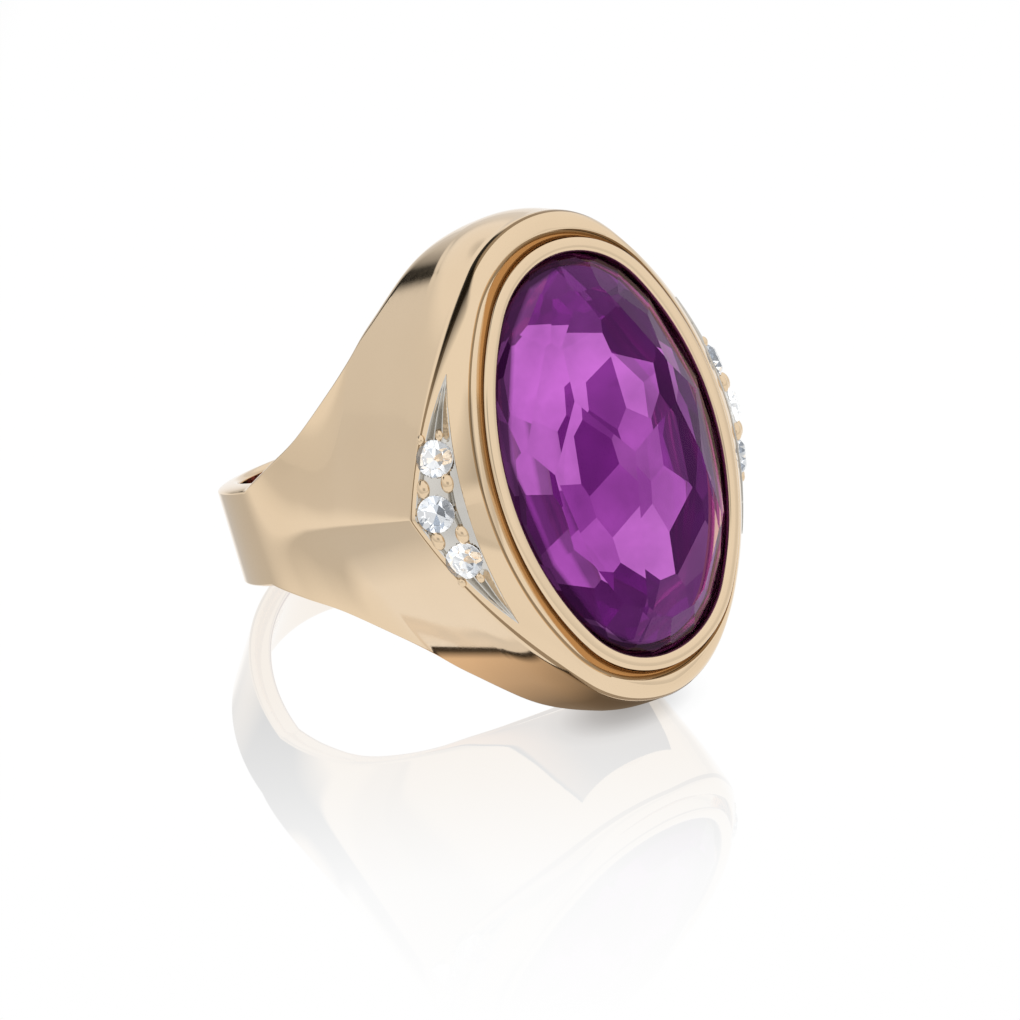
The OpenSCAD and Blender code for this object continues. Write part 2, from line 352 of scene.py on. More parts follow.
def top_z(x, y):
    """Height of the sloping top between the sharp edge and the groove."""
    th = np.arctan2(np.abs(y), np.abs(x))
    e, i = head_ray(th), oval_ray(LIP_W + FOOT_W, th)
    share = (e - np.hypot(x, y)) / (e - i)
    base = edge_z(th)
    crown = TOP_CROWN * np.clip(4 * share * (1 - share), 0, 1)
    return base + (STEP_Z - base) * share + crown


# fine sampling of the sharp edge, by angle
THETA = np.radians(np.linspace(0, 90, 1801))
HEAD_R = head_ray(THETA)


def smooth_min(a, b, k):
    """The smaller of a and b, with the change-over rounded across k."""
    h = np.clip(0.5 + 0.5 * (b - a) / k, 0, 1)
    return b * (1 - h) + a * h - k * h * (1 - h)


def curve(points, x):
    """Smooth monotone interpolation through the points at x."""
    p = np.array(points, float)
    d = np.diff(p[:, 1]) / np.diff(p[:, 0])
    m = np.concatenate([[d[0]], (d[:-1] + d[1:]) / 2, [d[-1]]])
    i = np.clip(np.searchsorted(p[:, 0], x) - 1, 0, len(p) - 2)
    h = p[i + 1, 0] - p[i, 0]
    t = (x - p[i, 0]) / h
    return ((1 + 2 * t) * (1 - t) ** 2 * p[i, 1] + t * (1 - t) ** 2 * h * m[i]
            + t * t * (3 - 2 * t) * p[i + 1, 1] + t * t * (t - 1) * h * m[i + 1])


def resample(xy, n):
    """n+1 points along the polyline, closer together where it turns."""
    d = np.diff(xy, axis=0)
    s = np.hypot(d[:, 0], d[:, 1])
    a = np.unwrap(np.arctan2(d[:, 1], d[:, 0]))
    turn = np.abs(np.diff(a, prepend=a[0]))
    kernel = np.ones(TURN_WINDOW) / TURN_WINDOW
    turn = np.convolve(np.pad(turn, TURN_WINDOW // 2, mode="edge"), kernel, "valid")
    w = (1 - TURN_SHARE) * s / s.sum() + TURN_SHARE * turn / max(turn.sum(), 1e-9)
    c = np.concatenate([[0], np.cumsum(w)])
    t = np.linspace(0, c[-1], n + 1)
    return np.stack([np.interp(t, c, xy[:, 0]), np.interp(t, c, xy[:, 1])], axis=1)


def wall_section(z, x_end):
    """Quarter of the outer wall at height z: from the side middle (y = 0) to x = x_end."""
    share = float(np.clip(z / KEEL_Z, 0, 1))
    keel = share * share * (3 - 2 * share)
    bulge = BULGE * float(np.clip((END_Z - z) / (END_Z - BULGE_Z), 0, 1))
    rise = float(np.clip(z / FLANK_Z, 0, 1))
    widest = HEAD_X + (RING_R - HEAD_X) * (1 - rise) ** 2 * (1 + 2 * rise)
    x = widest - (HEAD_X - HEAD_R * np.cos(THETA)) * keel
    y = HEAD_R * np.sin(THETA) * (1 + bulge * np.sin(THETA) ** 2)
    r = np.interp(THETA, np.arctan2(y, x), np.hypot(x, y))
    uy = np.maximum(np.sin(THETA), 1e-6)
    r = smooth_min(r, float(curve(SHOULDER, z)) / uy, float(curve(CORNER_SOFT, z)))
    xy = np.stack([r * np.cos(THETA), r * np.sin(THETA)], axis=1)
    # the keel line is rounded, more and more towards the band
    soft = KEEL_SOFT + KEEL_MORE * max(0.0, CORNER_Z - z)
    xy[:, 0] -= math.tan(SIDE_0) * keel * (np.hypot(xy[:, 1], soft) - xy[:, 1])
    keep = xy[:, 0] > x_end
    k = int(np.argmin(keep)) if not keep.all() else len(xy) - 1
    a, b = xy[k - 1], xy[k]
    t = 0.0 if abs(a[0] - b[0]) < 1e-9 else (a[0] - x_end) / (a[0] - b[0])
    end = a + (b - a) * min(max(t, 0.0), 1.0)
    return resample(np.concatenate([xy[:k], [end]]), WALL_COLUMNS)


# ---------------------------------------------------------------- crescent outline
# middles of its two edges, then the arc of the outer and the radius of the inner edge
PLATE_OUT = HEAD_X - PLATE_MARGIN
PLATE_IN = PLATE_OUT - PLATE_W
CRES_N = math.atan2(PLATE_OUT - PLATE_TIP, PLATE_Y)
CRES_R = math.hypot(PLATE_OUT - PLATE_TIP, PLATE_Y) / (2 * math.sin(CRES_N - SIDE_0))
CRES_O = (PLATE_OUT - CRES_R * math.cos(SIDE_0), -CRES_R * math.sin(SIDE_0))
CRES_IN_R = ((PLATE_IN - PLATE_TIP) ** 2 + PLATE_Y ** 2) / (2 * (PLATE_IN - PLATE_TIP))


def plate_outer(y):
    """Distance of the crescent's outer edge from the middle of the ring."""
    return CRES_O[0] + np.sqrt(np.maximum(CRES_R ** 2 - (np.abs(y) - CRES_O[1]) ** 2, 0))


def plate_inner(y):
    """Distance of the crescent's inner edge from the middle of the ring."""
    return PLATE_IN - CRES_IN_R + np.sqrt(np.maximum(CRES_IN_R ** 2 - y ** 2, 0))


def plate_mask(x, y, inset):
    """1 well inside the crescent, 0 outside; the step lies inset inside its edge."""
    ax = np.abs(x)
    d = np.minimum(plate_outer(y) - ax, ax - plate_inner(y))
    d = np.where(np.abs(y) > PLATE_Y, -1.0, d)
    return np.clip((d - inset) / RECESS_STEP, 0, 1)


# ---------------------------------------------------------------- ring body
def band_rows():
    """Quarter of the band behind the finger, as rows around the finger axis."""
    section = wall_section(0.0, RIM_R)
    rows = []
    for phi in BACK_TURNS:
        rows.append([(x * math.cos(phi), y, x * math.sin(phi)) for x, y in section])
    return rows


def build_body(material):
    """Band, shoulders and head: a quarter is drawn, mirrored twice and hollowed."""
    bm = bmesh.new()
    rows = []
    for phi in FRONT_TURNS:
        z = RIM_R * math.sin(phi)
        sec = wall_section(z, RIM_R * math.cos(phi))
        rows.append([(x, y, z) for x, y in sec])
    for z in np.linspace(RIM_R, WALL_TOP_Z, 26)[1:]:
        rows.append([(x, y, z) for x, y in wall_section(z, 0.0)])
    walls = band_rows() + rows
    # rows from WALL_TOP_Z up to the crease, where the outline no longer changes much
    top = wall_section(STEP_Z, 0.0)
    base = np.array(rows[-1])
    top_th = np.arctan2(top[:, 1], top[:, 0])
    crease_z = edge_z(top_th)
    from_corner = (np.degrees(top_th) - EDGE_ROUND_FROM) / EDGE_ROUND_OVER
    fillet = EDGE_ROUND + EDGE_ROUND_MORE * np.clip(from_corner, 0, 1)
    for t in np.linspace(0, 1, 14)[1:]:
        z = base[:, 2] + (crease_z - fillet - base[:, 2]) * t
        xy = base[:, :2] + (top - base[:, :2]) * t * t * (1 + WALL_EASE - WALL_EASE * t)
        walls.append([(x, y, zz) for (x, y), zz in zip(xy, z)])
    add_grid(bm, walls)
    # top surface from the crease in to the groove edge, with a small rounded crease
    inner_r = oval_ray(LIP_W + FOOT_W, top_th)
    groove = np.stack([inner_r * np.cos(top_th), inner_r * np.sin(top_th)], axis=1)
    inward = groove - top
    length = np.hypot(inward[:, 0], inward[:, 1])
    inward /= length[:, None]

    def top_point(d):
        xy = top + inward * d[:, None]
        z = top_z(xy[:, 0], xy[:, 1])
        z = z - RECESS * plate_mask(xy[:, 0], xy[:, 1], RECESS_INSET)
        return np.column_stack([xy, z])

    crease = np.column_stack([top, crease_z])
    low = crease - np.column_stack([np.zeros_like(top), fillet])
    high = top_point(fillet)
    fillet_rows = []
    for t in np.linspace(0, 1, 9):
        p = (1 - t) ** 2 * low + 2 * t * (1 - t) * crease + t * t * high
        fillet_rows.append(p)
    # the middle of the rounding gets the darker gold, a painted dark reflection along the sharp edge
    add_grid(bm, fillet_rows[:4])
    add_grid(bm, fillet_rows[3:6], mat=1)
    add_grid(bm, fillet_rows[5:])
    across = length - GROOVE_ROUND - fillet
    top_rows = [top_point(fillet + across * t) for t in np.linspace(0, 1, 64)]
    add_grid(bm, top_rows)
    # groove: rounded edge, wall and floor, then a cap that the hollow cuts open
    edge = top_rows[-1]
    side = [np.column_stack([groove + inward * d, edge[:, 2] - down]) for d, down in GROOVE_SIDE]
    floor_z = np.full(len(groove), GROOVE_Z - GROOVE_DEEP)
    foot = np.column_stack([groove + inward * GROOVE_SIDE[-1][0], floor_z])
    cap = np.column_stack([groove * (0.0, 0.5), floor_z])
    add_grid(bm, [edge, *side, foot, cap])
    # rim of the finger hole and the bore itself
    hole_rows = []
    for phi, row in zip(np.concatenate([BACK_TURNS, FRONT_TURNS]), walls):
        ye = row[-1][1]
        pts = []
        for a in np.radians(np.linspace(0, 90, 7)):
            pts.append((RIM_R - RIM_IN * math.sin(a), ye - RIM_IN * (1 - math.cos(a))))
        y_in = ye - RIM_IN
        pts += [(FINGER_R, y_in * t) for t in (0.75, 0.5, 0.25, 0.0)]
        hole_rows.append([(q * math.cos(phi), y, q * math.sin(phi)) for q, y in pts])
    add_grid(bm, hole_rows)
    weld(bm, 2e-4)
    for axis in (0, 1):
        copy = bmesh.ops.duplicate(bm, geom=bm.verts[:] + bm.edges[:] + bm.faces[:])
        new = [v for v in copy["geom"] if isinstance(v, bmesh.types.BMVert)]
        for v in new:
            v.co[axis] = -v.co[axis]
        flipped = [f for f in copy["geom"] if isinstance(f, bmesh.types.BMFace)]
        bmesh.ops.reverse_faces(bm, faces=flipped)
    weld(bm, 3e-4)
    bmesh.ops.recalc_face_normals(bm, faces=bm.faces)
    cutter = bmesh.new()
    prism(cutter, full_ring(oval(HOLLOW_GROW, 24)), *HOLLOW_Z)
    result = subtract(bm, cutter)
    return finish_piece("ring_body_gold", result, material, 34)


def prism(bm, outline, z0, z1):
    """Closed upright prism on an outline, from z0 to z1."""
    low = [bm.verts.new((x, y, z0)) for x, y in outline]
    high = [bm.verts.new((x, y, z1)) for x, y in outline]
    n = len(low)
    for i in range(n):
        j = (i + 1) % n
        bm.faces.new([low[i], low[j], high[j], high[i]])
    bm.faces.new(low[::-1])
    bm.faces.new(high)


def subtract(bm, cutter):
    """bm minus cutter, through a Boolean modifier that is applied."""
    objs = []
    for b in (bm, cutter):
        bmesh.ops.recalc_face_normals(b, faces=b.faces)
        me = bpy.data.meshes.new("scratch")
        b.to_mesh(me)
        b.free()
        o = bpy.data.objects.new("scratch", me)
        bpy.context.scene.collection.objects.link(o)
        objs.append(o)
    mod = objs[0].modifiers.new("cut", "BOOLEAN")
    mod.operation = "DIFFERENCE"
    mod.object = objs[1]
    mod.solver = "MANIFOLD"
    out = bmesh.new()
    out.from_object(objs[0], bpy.context.evaluated_depsgraph_get())
    for o in objs:
        me = o.data
        bpy.data.objects.remove(o)
        bpy.data.meshes.remove(me)
    return out


# ---------------------------------------------------------------- bezel and seat
def swept_ring(bm, section):
    """Closed section of (growth, height) swept round the stone opening's oval."""
    rings = []
    for g, z in section:
        rings.append([(x, y, z) for x, y in full_ring(oval(g, SWEEP_POINTS))])
    rings.append(rings[0])
    add_grid(bm, rings, close=True)
    weld(bm)


def build_bezel(material):
    """Raised bezel with a cove outside its lip; its two crevices get the darker gold as painted
    shade.
    """
    bm = bmesh.new()
    foot = LIP_W + FOOT_W - BEZEL_PLAY
    # concave quarter: steep beside the lip, flat at the foot
    cove = []
    for share in np.linspace(0, 1, 12):
        ang = share * math.pi / 2
        g = foot - (foot - LIP_W) * math.sin(ang)
        z = GROOVE_Z + (LIP_Z - COVE_DOWN - GROOVE_Z) * (1 - math.cos(ang))
        cove.append((g, z))
    # up the foot and the cove, over the rounded lip and down inside it
    lip = [(g, LIP_Z - down) for g, down in LIP_OUTSIDE + LIP_INSIDE]
    swept_ring(bm, [(foot, BEZEL_Z), (foot, GROOVE_Z - FOOT_LINE), *cove, *lip, (GRIP, BEZEL_Z)])
    # painted shade: the faces in the two crevices get the darker gold
    for f in bm.faces:
        z = f.calc_center_median().z
        if abs(z - GROOVE_Z) < FOOT_LINE or abs(z - LIP_Z + LIP_LINE_DOWN) < LIP_LINE:
            f.material_index = 1
    return finish_piece("bezel_gold", bm, material, 40)


def build_seat(material):
    """Ledge inside the bezel that carries the stone."""
    bm = bmesh.new()
    swept_ring(bm, [(g, SEAT_Z - down) for g, down in SEAT_SECTION])
    return finish_piece("stone_seat_gold", bm, material, 40)


# ---------------------------------------------------------------- gems
def cut(bm, normal, distance):
    """Removes what lies beyond the plane normal . p = distance and closes the hole."""
    n = Vector(normal).normalized()
    geom = bm.verts[:] + bm.edges[:] + bm.faces[:]
    res = bmesh.ops.bisect_plane(bm, geom=geom, dist=1e-6, plane_co=n * distance, plane_no=n,
                                 clear_outer=True)
    edges = [e for e in res["geom_cut"] if isinstance(e, bmesh.types.BMEdge)]
    if len(edges) > 2:
        bmesh.ops.edgeloop_fill(bm, edges=edges)


def closed_gem(bm):
    """The facets as one closed convex stone; facets that face down get the back material."""
    points = [v.co.copy() for v in bm.verts]
    bm.clear()
    for q in points:
        bm.verts.new(q)
    bmesh.ops.remove_doubles(bm, verts=bm.verts, dist=GEM_WELD)
    bmesh.ops.convex_hull(bm, input=bm.verts)
    loose = [v for v in bm.verts if not v.link_faces]
    bmesh.ops.delete(bm, geom=loose, context="VERTS")
    bmesh.ops.dissolve_limit(bm, angle_limit=GEM_FLAT, verts=bm.verts, edges=bm.edges)
    bmesh.ops.recalc_face_normals(bm, faces=bm.faces)
    for f in bm.faces:
        f.material_index = int(f.normal.z < GEM_BACK)


def oval_reach(a, g):
    """Distance from the centre to the tangent of the oval whose normal points at angle a."""
    pts = full_ring(oval(g, 60))
    return float(np.max(pts @ np.array([math.cos(a), math.sin(a)])))


def side_facets(bm, count, offset, tilt, reach_g, z, wobble, seed):
    """A row of facets that meet the oval (grown by reach_g) at height z, leaning by tilt."""
    rng = np.random.default_rng(seed)
    for i in range(count):
        a = 2 * math.pi * (i + offset) / count + wobble * rng.uniform(-1, 1) * math.pi / count
        t = math.radians(tilt + TILT_WOBBLE * wobble * rng.uniform(-1, 1))
        d = oval_reach(a, reach_g)
        n = (math.cos(a) * math.sin(t), math.sin(a) * math.sin(t), math.cos(t))
        cut(bm, n, d * math.sin(t) + z * n[2])


def flat_shaded(obj):
    """Flat facets all over."""
    for p in obj.data.polygons:
        p.use_smooth = False
    return obj


def build_amethyst(material):
    """Oval stone: rows of irregular crown facets, and facets all round an oval bowl below."""
    bm = bmesh.new()
    outline = full_ring(oval(GRIP - STONE_PLAY, 11))
    prism(bm, outline, SEAT_Z - PAVILION_H, SEAT_Z + GIRDLE_T + CROWN_H)
    for count, offset, tilt, growth, above, wobble, seed in CROWN_ROWS:
        side_facets(bm, count, offset, tilt, growth, CROWN_FROM + above, wobble, seed)
    for n in CROWN_FLATS:
        v = Vector(n).normalized()
        cut(bm, v, (CROWN_FROM + CROWN_FLAT_H) * v.z)
    rng = np.random.default_rng(PAVILION_SEED)
    size = np.array([OPEN_X + PAVILION_OVER, OPEN_Y + PAVILION_OVER, PAVILION_H])
    for i in range(PAVILION_CUTS):
        down = (i + PAVILION_FIRST) / PAVILION_CUTS
        turn = GOLDEN_TURN * i + rng.uniform(-PAVILION_WOBBLE, PAVILION_WOBBLE)
        flat = math.sqrt(1 - down * down)
        at = size * np.array([flat * math.cos(turn), flat * math.sin(turn), -down])
        n = Vector(at / size ** 2).normalized()
        cut(bm, n, n.dot(Vector(at)) + n.z * PAVILION_FROM)
    closed_gem(bm)
    return flat_shaded(finish_piece("amethyst_stone", bm, material, 1))


def top_normal(x, y):
    """Unit normal of the sloping top at (x, y), for arrays or single numbers."""
    h = SLOPE_STEP
    nx = (top_z(x - h, y) - top_z(x + h, y)) / (2 * h)
    ny = (top_z(x, y - h) - top_z(x, y + h)) / (2 * h)
    n = np.stack([nx, ny, np.ones_like(nx)], axis=-1)
    return n / np.linalg.norm(n, axis=-1, keepdims=True)


def on_top(x, y, d):
    """Points on the sloping top at (x, y), raised by d square to it."""
    x, y, d = np.broadcast_arrays(np.asarray(x, float), np.asarray(y, float), d)
    n = top_normal(x, y)
    p = np.stack([x, y, top_z(x, y)], axis=-1)
    return p + n * d[..., None]


def top_frame(s, x, y):
    """Matrix with its origin on the sloping top at (s x, y) and Z square to it."""
    n = Vector(top_normal(np.array(x), np.array(y)).tolist())
    p = on_top(x, y, 0.0)
    turn = Vector((s * n.x, n.y, n.z)).to_track_quat("Z", "Y").to_matrix().to_4x4()
    return Matrix.Translation((s * p[0], p[1], p[2])) @ turn


def diamond_frame(s, i):
    """Matrix of diamond i (-1 south, 0 middle, 1 north) on side s."""
    return top_frame(s, DIAMOND_X0 if i == 0 else DIAMOND_X1, i * DIAMOND_PITCH)


def build_diamond(name, s, i, material):
    """Round brilliant, set square to the sloping top."""
    bm = bmesh.new()
    r = DIAMOND_D / 2
    turns = np.radians(np.arange(0, 360, 360 / DIAMOND_SIDES))
    prism(bm, [(r * math.cos(a), r * math.sin(a)) for a in turns], -DIAMOND_DEPTH, DIAMOND_TABLE)
    for count, offset, tilt, reach, z, up in DIAMOND_ROWS:
        t = math.radians(tilt)
        for k in range(count):
            a = 2 * math.pi * (k + offset) / count
            n = (math.cos(a) * math.sin(t), math.sin(a) * math.sin(t), math.cos(t) * up)
            cut(bm, n, reach * r * math.sin(t) + z * n[2])
    closed_gem(bm)
    spin = Matrix.Rotation(SPIN_BY_PLACE * i + SPIN_BY_SIDE * s, 4, "Z")
    bmesh.ops.transform(bm, matrix=diamond_frame(s, i) @ spin, verts=bm.verts)
    return flat_shaded(finish_piece(name, bm, material, 1))


# ---------------------------------------------------------------- crescents and beads
def line(u, centre, width, deep):
    """Depth of a V line across the plate, at the across-shares u."""
    return deep * np.clip(1 - np.abs(u - centre) / width, 0, 1)


def tip_lines(u, y):
    """Depth of the cut lines in the tips (u: 0 outer edge, 1 inner edge)."""
    reach = 1 - np.clip((abs(y) - TIP_LINES_Y) / (PLATE_Y - TIP_LINES_Y), 0, 1)
    fade = min(1.0, TIP_LINES_FADE * reach) * np.clip((abs(y) - MIDDLE_Y) * MIDDLE_FADE, 0, 1)
    return fade * sum(line(u, *one) for one in TIP_LINES)


def build_crescent(name, s, material):
    """Bright-cut plate on side s, with pockets for the diamonds."""
    bm = bmesh.new()
    ys = np.concatenate([np.linspace(-PLATE_Y, -PLATE_ROWS_Y, 60),
                         np.linspace(-PLATE_ROWS_Y, PLATE_ROWS_Y, 60)[1:-1],
                         np.linspace(PLATE_ROWS_Y, PLATE_Y, 60)])
    us = np.linspace(0, 1, 41)
    rows = []
    for y in ys:
        xo, xi = float(plate_outer(y)), float(plate_inner(y))
        x = xo + (xi - xo) * us
        width = xo - xi
        d = np.full_like(us, PLATE_PROUD)
        edge = np.minimum(us, 1 - us) * width
        d -= tip_lines(us, y) * min(1.0, width / TIP_LINES_FULL_W)
        middle = np.clip((MIDDLE_Y - abs(y)) * MIDDLE_FADE, 0, 1)
        for one in SIDE_LINES:
            d -= middle * line(us, *one)
        for i in (-1, 0, 1):
            cx = DIAMOND_X0 if i == 0 else DIAMOND_X1
            r = np.hypot((x - cx) / POCKET_SQUEEZE, y - i * DIAMOND_PITCH)
            d = np.where(r < POCKET_R, -POCKET_DEPTH, d)
        d = np.where(edge < PLATE_EDGE, -PLATE_DROP, d)
        p = on_top(x, np.full_like(x, y), d)
        p[:, 0] *= s
        rows.append(p)
    add_grid(bm, rows)
    weld(bm)
    return finish_piece(name, bm, material, 40)


def build_beads(name, s, material):
    """Pairs of grains between the diamonds of side s and at the ends of their row."""
    bm = bmesh.new()
    for j in (-1.5, -0.5, 0.5, 1.5):
        for k in (-1, 1):
            if abs(j) > 1:
                x = DIAMOND_X1 - END_BEAD_IN + END_BEAD_APART * k
                y = j * DIAMOND_PITCH * END_BEAD_PITCH
                r, stretch = END_BEAD_R, END_BEAD_LONG
            else:
                x = (DIAMOND_X0 + DIAMOND_X1) / 2 + BEAD_APART * k
                y = j * DIAMOND_PITCH
                r, stretch = BEAD_R, BEAD_LONG
            res = bmesh.ops.create_icosphere(bm, subdivisions=3, radius=r)
            for v in res["verts"]:
                v.co.x *= stretch
                v.co.y *= BEAD_WIDE
                v.co.z *= BEAD_TALL
            bmesh.ops.transform(bm, matrix=top_frame(s, x, y), verts=res["verts"])
    return finish_piece(name, bm, material, 40)


# ---------------------------------------------------------------- values of the looks
# polished gold and bright-cut white gold: colour, deeper tone, roughness
YELLOW_GOLD = ((0.80, 0.625, 0.43), (0.76, 0.585, 0.395), 0.07)
WHITE_GOLD = ((0.72, 0.70, 0.66), (0.60, 0.57, 0.52), 0.16)
# darker gold painted along the sharp edges and in the crevices: a painted dark reflection on the
# edges and painted shade in the crevices
PAINTED_DARK_LINE_GOLD = ((0.34, 0.23, 0.13), (0.26, 0.17, 0.09), 0.12)
DRIFT_SCALE = 260.0
MARKS_SCALE = 2600.0
ROUGH_LEAST = 0.75
ROUGH_MOST = 1.35
MARKS_STRENGTH = 0.02
MARKS_HEIGHT = 0.00001

# gems: colour, index of refraction, tint of the surface gloss
AMETHYST_CLEAR = ((0.98, 0.92, 0.99), 1.54, (0.35, 0.07, 0.38))
DIAMOND_CLEAR = ((0.98, 0.99, 1.0), 2.40, (1.0, 1.0, 1.0))
# how strongly the body of the stone takes up light, and the colour that it lets through
AMETHYST_BODY = (70.0, (0.80, 0.16, 0.82))
DIAMOND_BODY = (0, None)
# faint veils inside the stones: scale, tint of the clear parts, spread of the cloudy zones
VEIL_SCALE = 420.0
VEIL_TINT = 0.9
ZONES_FROM = (0.3, 0.7)
ZONES_TO = (0.78, 1.12)
# back facets, with painted light: (place in the draw, colour), the bright and dark colours painted
# reflections, and their own painted glow
AMETHYST_PAINTED_FACET_TONES = [(0.36, (0.08, 0.005, 0.10)), (0.43, (0.16, 0.032, 0.19)),
                  (0.49, (0.24, 0.068, 0.27)), (0.56, (0.33, 0.12, 0.36)), (0.66, (0.44, 0.20, 0.47))]
AMETHYST_PAINTED_GLOW = 0.55
DIAMOND_PAINTED_FACET_TONES = [(0.36, (0.22, 0.26, 0.32)), (0.42, (0.94, 0.97, 1.0)), (0.60, (1.0, 1.0, 1.0))]
DIAMOND_PAINTED_GLOW = 0.60
BACK_ROUGH = 0.01
FACET_DRAW_SCALE = 17.0
# painted shade of the back facets, darker towards the girdle: (share of the facet's direction that
# points along the stone's axis, level)
BACK_DEPTH = [(0.0, 0.10), (0.25, 0.30), (0.55, 0.85), (0.8, 1.0), (1.0, 1.0)]
STONE_AXIS = tuple(Vector(to_world((0, 0, 1))) / MM)
GIRDLE_AT = to_world((0, 0, SEAT_Z + GIRDLE_T))
# painted shade in the stone's edge beside the setting: (metres above the girdle, level)
DARK_RIM = [(0.0, 0.015), (0.00070, 0.05), (0.00082, 1.0)]

# the floor's directions away from the viewer and to the viewer's left, in the frame
FLOOR_AWAY = (0.588, 0.809, 0.0)
FLOOR_LEFT = (-0.809, 0.588, 0.0)
FLOOR_HALF = 1.5
FLOOR_GLOW = 1.0
FLOOR_ROUGH = 0.02
# (metres along a direction, level); the first is painted shade, dimming the floor's glow to the
# viewer's left
FLOOR_DIM = [(-0.10, 1.0), (0.030, 1.0), (0.052, 0.74), (0.30, 0.74)]
FLOOR_MIRROR = [(-0.036, 0.0), (-0.026, 0.05), (-0.018, 0.20), (-0.010, 0.32), (0.010, 0.38)]
# painted shadow on the floor under the low end of the head: (share of the ellipse under it, level),
# its middle and half sizes
FLOOR_SHADE = [(0.0, 0.45), (0.4, 0.62), (0.8, 0.95), (1.0, 1.0)]
SHADE_AT = (0.0005, -0.0150, 0.0)
SHADE_SIZE = (0.0048, 0.0026, 1.0)

# glowing brown card on the floor under the low end of the head, a painted shadow seen only mirrored
# in the gold: extent, height, colour
CARD_X = (-0.0069, 0.0040)
CARD_Y = (-0.0175, -0.0030)
CARD_UP = 0.00004
CARD_SHADOW_COLOUR = (1.08, 0.82, 0.58)
# painted shade on the card: (metres in from its left edge, level) and (metres back from its front
# edge, level)
CARD_INWARDS = [(0.0, 0.03), (0.00025, 0.05), (0.0007, 0.72), (0.0022, 0.62), (0.0040, 0.30),
                (0.011, 0.30)]
CARD_BACK = [(0.0, 0.35), (0.004, 0.8), (0.008, 1.1), (0.0145, 1.25)]

# surroundings: level by height above the horizon (sine of the elevation)
SKY = [(-1.0, 1.0), (-0.02, 0.80), (0.16, 0.84), (0.25, 1.0), (1.0, 1.04)]
# dark screens: (degrees round from +X, darkness) and (height, darkness)
SCREENS = [
    # low, behind the high end: the dark streak in that end's wall
    ([(62, 0.0), (78, 0.25), (86, 0.6), (90, 0.97), (96.4, 0.97), (97.6, 0.0)],
     [(-0.02, 0.0), (0.02, 1.0), (0.155, 1.0), (0.19, 0.0)]),
    # high, behind the high end: the dark line along the sharp edge
    ([(70, 0.0), (80, 0.97), (138, 0.97), (166, 0.0)],
     [(0.40, 0.0), (0.46, 1.0), (0.72, 1.0), (0.78, 0.0)]),
    # the viewer's own dark outline
    ([(-156, 0.0), (-140, 0.42), (-112, 0.42), (-98, 0.0)],
     [(0.24, 0.0), (0.28, 1.0), (0.56, 1.0), (0.62, 0.0)]),
]

# camera, fitted to the photo in the upright ring's frame
CAM_AT = Vector(to_world((-78.765, 14.535, 124.674)))
CAM_RIGHT = Vector(to_world((0.78107, -0.27557, 0.56035))) / MM
CAM_UP = Vector(to_world((0.29257, 0.95427, 0.06148))) / MM
CAM_FORWARD = Vector(to_world((0.55166, -0.11592, -0.82597))) / MM
CAM_LENS = 105.88
CAM_SENSOR = 36.0
CAM_CLIP = (0.002, 10.0)


# ---------------------------------------------------------------- node helpers
def ramp(nt, source, stops):
    """Colour along a value from 0 to 1: straight lines between the (value, colour) stops."""
    node = nt.nodes.new("ShaderNodeValToRGB")
    nt.links.new(source, node.inputs["Fac"])
    elements = node.color_ramp.elements
    while len(elements) < len(stops):
        elements.new(0.5)
    for element, (at, colour) in zip(elements, stops):
        element.position = at
        element.color = (*colour, 1)
    return node.outputs["Color"]


def span(nt, source, start, end, low=0.0, high=1.0):
    """Maps start..end to low..high."""
    node = nt.nodes.new("ShaderNodeMapRange")
    node.inputs["From Min"].default_value = start
    node.inputs["From Max"].default_value = end
    node.inputs["To Min"].default_value = low
    node.inputs["To Max"].default_value = high
    nt.links.new(source, node.inputs["Value"])
    return node.outputs["Result"]


def profile(nt, source, stops):
    """Grey level along a value: straight lines between the (value, level) stops."""
    first, last = stops[0][0], stops[-1][0]
    greys = [((value - first) / (last - first), (level,) * 3) for value, level in stops]
    return ramp(nt, span(nt, source, first, last), greys)


def noise(nt, source, scale, detail):
    """Cloudy value over a vector."""
    node = nt.nodes.new("ShaderNodeTexNoise")
    node.inputs["Scale"].default_value = scale
    node.inputs["Detail"].default_value = detail
    nt.links.new(source, node.inputs["Vector"])
    return node.outputs["Fac"]


def blend(nt, share, a, b):
    """Colour between a and b."""
    node = nt.nodes.new("ShaderNodeMix")
    node.data_type = "RGBA"
    node.inputs["A"].default_value = (*a, 1)
    node.inputs["B"].default_value = (*b, 1)
    nt.links.new(share, node.inputs["Factor"])
    return node.outputs["Result"]


def times(nt, a, b):
    """Product of two values."""
    node = nt.nodes.new("ShaderNodeMath")
    node.operation = "MULTIPLY"
    nt.links.new(a, node.inputs[0])
    nt.links.new(b, node.inputs[1])
    return node.outputs[0]


def one_minus(nt, a):
    """What a value lacks of 1."""
    node = nt.nodes.new("ShaderNodeMath")
    node.operation = "SUBTRACT"
    node.inputs[0].default_value = 1.0
    nt.links.new(a, node.inputs[1])
    return node.outputs[0]


def unsigned(nt, a):
    """A value without its sign."""
    node = nt.nodes.new("ShaderNodeMath")
    node.operation = "ABSOLUTE"
    nt.links.new(a, node.inputs[0])
    return node.outputs[0]


def along(nt, source, axis, start=(0, 0, 0)):
    """Distance of a position from start along a direction."""
    node = nt.nodes.new("ShaderNodeVectorMath")
    node.operation = "DOT_PRODUCT"
    node.inputs[1].default_value = axis
    nt.links.new(source, node.inputs[0])
    less = nt.nodes.new("ShaderNodeMath")
    less.operation = "SUBTRACT"
    less.inputs[1].default_value = float(Vector(axis).dot(Vector(start)))
    nt.links.new(node.outputs["Value"], less.inputs[0])
    return less.outputs[0]


